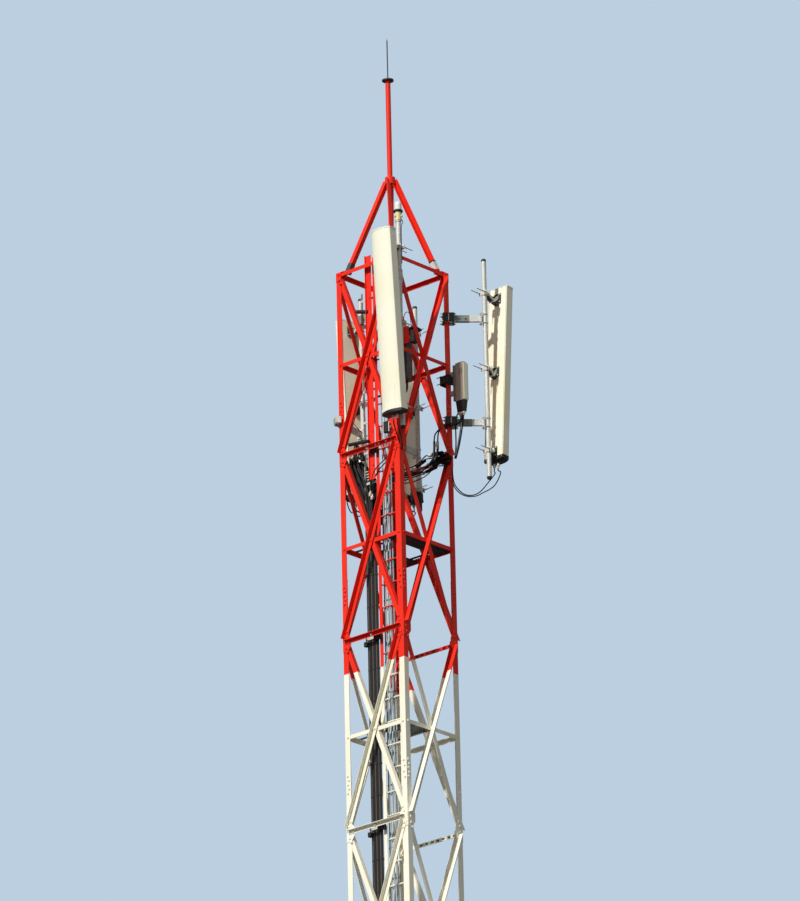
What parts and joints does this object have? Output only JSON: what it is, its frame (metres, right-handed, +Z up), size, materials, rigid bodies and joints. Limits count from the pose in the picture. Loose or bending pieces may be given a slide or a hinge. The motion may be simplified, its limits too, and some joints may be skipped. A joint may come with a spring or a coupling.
{
  "type": "lattice cell tower",
  "caption": "Square steel lattice tower in red and white bands, with crossed bracing, a spire with lightning rod, climbing ladder, feeder cables and panel antennas on poles.",
  "frame": {"origin": "centre of the underside of the near leg's base plate, where that foot bolts down", "axes": "+Z up along the tower; -Y out of the front face, where the climbing ladder and feeders are; +X out of the right face"},
  "size_m": [1.9792, 2.237, 18.16],
  "materials": {
    "tower_paint": "weathered gloss, red and white bands",
    "galvanised": "dull galvanised",
    "radome": "weathered satin",
    "black_plastic": "satin",
    "cable_jacket": "satin",
    "lamp_lens": "clear",
    "lamp_paint": "satin",
    "casing": "satin",
    "needle_steel": "weathered"
  },
  "bodies": {
    "root": {"antenna_back": "radome", "antenna_back_caps": "black_plastic", "antenna_back_mount": "galvanised", "antenna_front": "radome", "antenna_front_caps": "black_plastic", "antenna_front_mount": "galvanised", "antenna_left": "radome", "antenna_left_caps": "black_plastic", "antenna_left_mount": "galvanised", "antenna_right": "radome", "antenna_right_caps": "black_plastic", "antenna_right_mount": "galvanised", "base_plates": "tower_paint", "bracing_back_lower": "tower_paint", "bracing_back_upper": "tower_paint", "bracing_front_lower": "tower_paint", "bracing_front_upper": "tower_paint", "bracing_left_lower": "tower_paint", "bracing_left_upper": "tower_paint", "bracing_right_lower": "tower_paint", "bracing_right_upper": "tower_paint", "cable_ladder": "galvanised", "climbing_ladder": "tower_paint", "control_cables": "cable_jacket", "feeder_inner": "cable_jacket", "feeders_left": "cable_jacket", "feeders_right": "cable_jacket", "lamp_body": "lamp_paint", "lamp_dome": "lamp_lens", "leg_far": "tower_paint", "leg_left": "tower_paint", "leg_near": "tower_paint", "leg_right": "tower_paint", "lightning_mast": "tower_paint", "lightning_needle": "needle_steel", "platform_lower": "galvanised", "platform_upper": "galvanised", "radio_unit_inner": "casing", "radio_unit_right": "casing", "spire": "tower_paint"}
  },
  "joints": []
}
